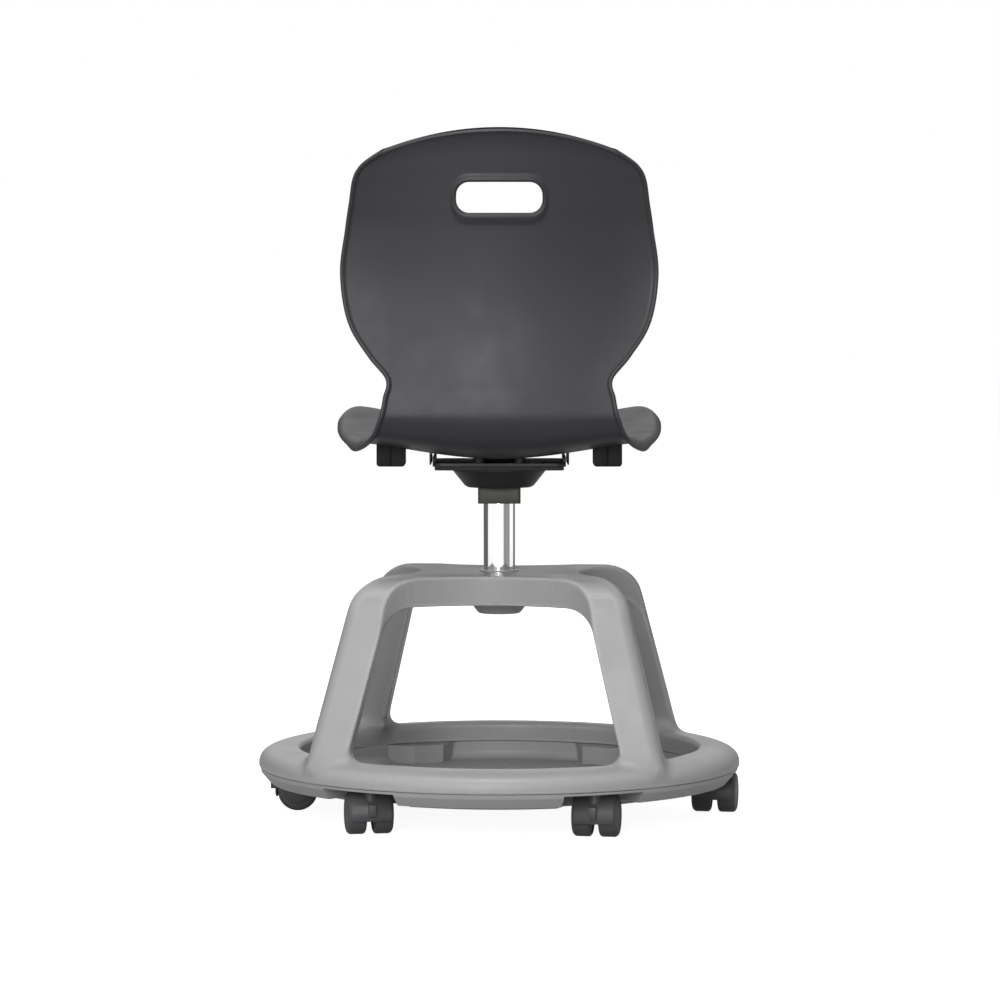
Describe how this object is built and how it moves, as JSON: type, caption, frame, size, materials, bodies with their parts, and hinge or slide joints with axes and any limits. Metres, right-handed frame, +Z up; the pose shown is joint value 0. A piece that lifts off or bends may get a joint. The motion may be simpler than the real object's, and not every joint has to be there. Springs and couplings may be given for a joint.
{
  "type": "swivel chair on a castor base with storage tray",
  "caption": "School swivel chair: one-piece plastic seat and back on a fixed column, moulded leg base with a storage tray and swivel castors.",
  "frame": {"origin": "on the floor at the swivel axis, which is also the centre of the foot ring", "axes": "+Z up; the sitter faces -Y; +X is the sitter's left"},
  "size_m": [0.576, 0.576, 0.8115],
  "materials": {
    "shell_plastic": "fine even texture, satin",
    "plate_paint": "powder coat, satin",
    "block_paint": "powder coat, satin",
    "bush_plastic": "plain",
    "fastener_steel": "zinc plated",
    "buffer_rubber": "moulded, dull",
    "base_plastic": "satin, flowing corners",
    "tray_plastic": "satin",
    "sleeve_plastic": "smooth",
    "socket_steel": "turned",
    "column_chrome": "bright plated",
    "spindle_steel": "turned",
    "castor_plastic": "satin",
    "wheel_plastic": "satin"
  },
  "bodies": {
    "base": {"base_frame": "base_plastic", "storage_tray": "tray_plastic", "tray_screws": "fastener_steel", "castor_sockets": "socket_steel", "hub_sleeve": "sleeve_plastic", "column_tube": "column_chrome", "column_plug": "spindle_steel", "column_bolt": "fastener_steel", "column_washer": "fastener_steel", "swivel_spindle": "spindle_steel", "thrust_washer": "fastener_steel", "clip_washer": "fastener_steel", "spindle_clip": "spindle_steel"},
    "seat": {"seat_shell": "shell_plastic", "seat_plate": "plate_paint", "swivel_cone": "plate_paint", "swivel_block": "block_paint", "swivel_bush": "bush_plastic", "plate_screws": "fastener_steel", "plate_washers": "fastener_steel", "buffer_left": "buffer_rubber", "buffer_right": "buffer_rubber"},
    "castor_1": {"castor_1_housing": "castor_plastic", "castor_1_stem": "spindle_steel", "castor_1_axle": "spindle_steel"},
    "castor_1_left": {"castor_1_wheel_left": "wheel_plastic"},
    "castor_1_right": {"castor_1_wheel_right": "wheel_plastic"},
    "castor_2": {"castor_2_housing": "castor_plastic", "castor_2_stem": "spindle_steel", "castor_2_axle": "spindle_steel"},
    "castor_2_left": {"castor_2_wheel_left": "wheel_plastic"},
    "castor_2_right": {"castor_2_wheel_right": "wheel_plastic"},
    "castor_3": {"castor_3_housing": "castor_plastic", "castor_3_stem": "spindle_steel", "castor_3_axle": "spindle_steel"},
    "castor_3_left": {"castor_3_wheel_left": "wheel_plastic"},
    "castor_3_right": {"castor_3_wheel_right": "wheel_plastic"},
    "castor_4": {"castor_4_housing": "castor_plastic", "castor_4_stem": "spindle_steel", "castor_4_axle": "spindle_steel"},
    "castor_4_left": {"castor_4_wheel_left": "wheel_plastic"},
    "castor_4_right": {"castor_4_wheel_right": "wheel_plastic"},
    "castor_5": {"castor_5_housing": "castor_plastic", "castor_5_stem": "spindle_steel", "castor_5_axle": "spindle_steel"},
    "castor_5_left": {"castor_5_wheel_left": "wheel_plastic"},
    "castor_5_right": {"castor_5_wheel_right": "wheel_plastic"},
    "castor_6": {"castor_6_housing": "castor_plastic", "castor_6_stem": "spindle_steel", "castor_6_axle": "spindle_steel"},
    "castor_6_left": {"castor_6_wheel_left": "wheel_plastic"},
    "castor_6_right": {"castor_6_wheel_right": "wheel_plastic"}
  },
  "joints": [
    {"name": "seat_swivel", "type": "hinge", "parent": "base", "child": "seat", "pos_m": [0, 0, 0.3695], "axis": [0, 0, 1], "continuous": true},
    {"name": "castor_1_swivel", "type": "hinge", "parent": "base", "child": "castor_1", "pos_m": [0.25602, -0.0224, 0.06], "axis": [0, 0, 1], "continuous": true},
    {"name": "castor_1_left_roll", "type": "hinge", "parent": "castor_1", "child": "castor_1_left", "pos_m": [0.24202, -0.0224, 0.024], "axis": [0, -1, 0], "continuous": true},
    {"name": "castor_1_right_roll", "type": "hinge", "parent": "castor_1", "child": "castor_1_right", "pos_m": [0.24202, -0.0224, 0.024], "axis": [0, -1, 0], "continuous": true},
    {"name": "castor_2_swivel", "type": "hinge", "parent": "base", "child": "castor_2", "pos_m": [0.14741, 0.21052, 0.06], "axis": [0, 0, 1], "continuous": true},
    {"name": "castor_2_left_roll", "type": "hinge", "parent": "castor_2", "child": "castor_2_left", "pos_m": [0.14984, 0.19673, 0.024], "axis": [0.9848, 0.1736, 0], "continuous": true},
    {"name": "castor_2_right_roll", "type": "hinge", "parent": "castor_2", "child": "castor_2_right", "pos_m": [0.14984, 0.19673, 0.024], "axis": [0.9848, 0.1736, 0], "continuous": true},
    {"name": "castor_3_swivel", "type": "hinge", "parent": "base", "child": "castor_3", "pos_m": [-0.10861, 0.23292, 0.06], "axis": [0, 0, 1], "continuous": true},
    {"name": "castor_3_left_roll", "type": "hinge", "parent": "castor_3", "child": "castor_3_left", "pos_m": [-0.11104, 0.21913, 0.024], "axis": [0.9848, -0.1736, 0], "continuous": true},
    {"name": "castor_3_right_roll", "type": "hinge", "parent": "castor_3", "child": "castor_3_right", "pos_m": [-0.11104, 0.21913, 0.024], "axis": [0.9848, -0.1736, 0], "continuous": true},
    {"name": "castor_4_swivel", "type": "hinge", "parent": "base", "child": "castor_4", "pos_m": [-0.25602, 0.0224, 0.06], "axis": [0, 0, 1], "continuous": true},
    {"name": "castor_4_left_roll", "type": "hinge", "parent": "castor_4", "child": "castor_4_left", "pos_m": [-0.25845, 0.00861, 0.024], "axis": [0.9848, -0.1736, 0], "continuous": true},
    {"name": "castor_4_right_roll", "type": "hinge", "parent": "castor_4", "child": "castor_4_right", "pos_m": [-0.25845, 0.00861, 0.024], "axis": [0.9848, -0.1736, 0], "continuous": true},
    {"name": "castor_5_swivel", "type": "hinge", "parent": "base", "child": "castor_5", "pos_m": [-0.14741, -0.21052, 0.06], "axis": [0, 0, 1], "continuous": true},
    {"name": "castor_5_left_roll", "type": "hinge", "parent": "castor_5", "child": "castor_5_left", "pos_m": [-0.1522, -0.22368, 0.024], "axis": [0.9397, -0.342, 0], "continuous": true},
    {"name": "castor_5_right_roll", "type": "hinge", "parent": "castor_5", "child": "castor_5_right", "pos_m": [-0.1522, -0.22368, 0.024], "axis": [0.9397, -0.342, 0], "continuous": true},
    {"name": "castor_6_swivel", "type": "hinge", "parent": "base", "child": "castor_6", "pos_m": [0.10861, -0.23292, 0.06], "axis": [0, 0, 1], "continuous": true},
    {"name": "castor_6_left_roll", "type": "hinge", "parent": "castor_6", "child": "castor_6_left", "pos_m": [0.1134, -0.24608, 0.024], "axis": [0.9397, 0.342, 0], "continuous": true},
    {"name": "castor_6_right_roll", "type": "hinge", "parent": "castor_6", "child": "castor_6_right", "pos_m": [0.1134, -0.24608, 0.024], "axis": [0.9397, 0.342, 0], "continuous": true}
  ]
}
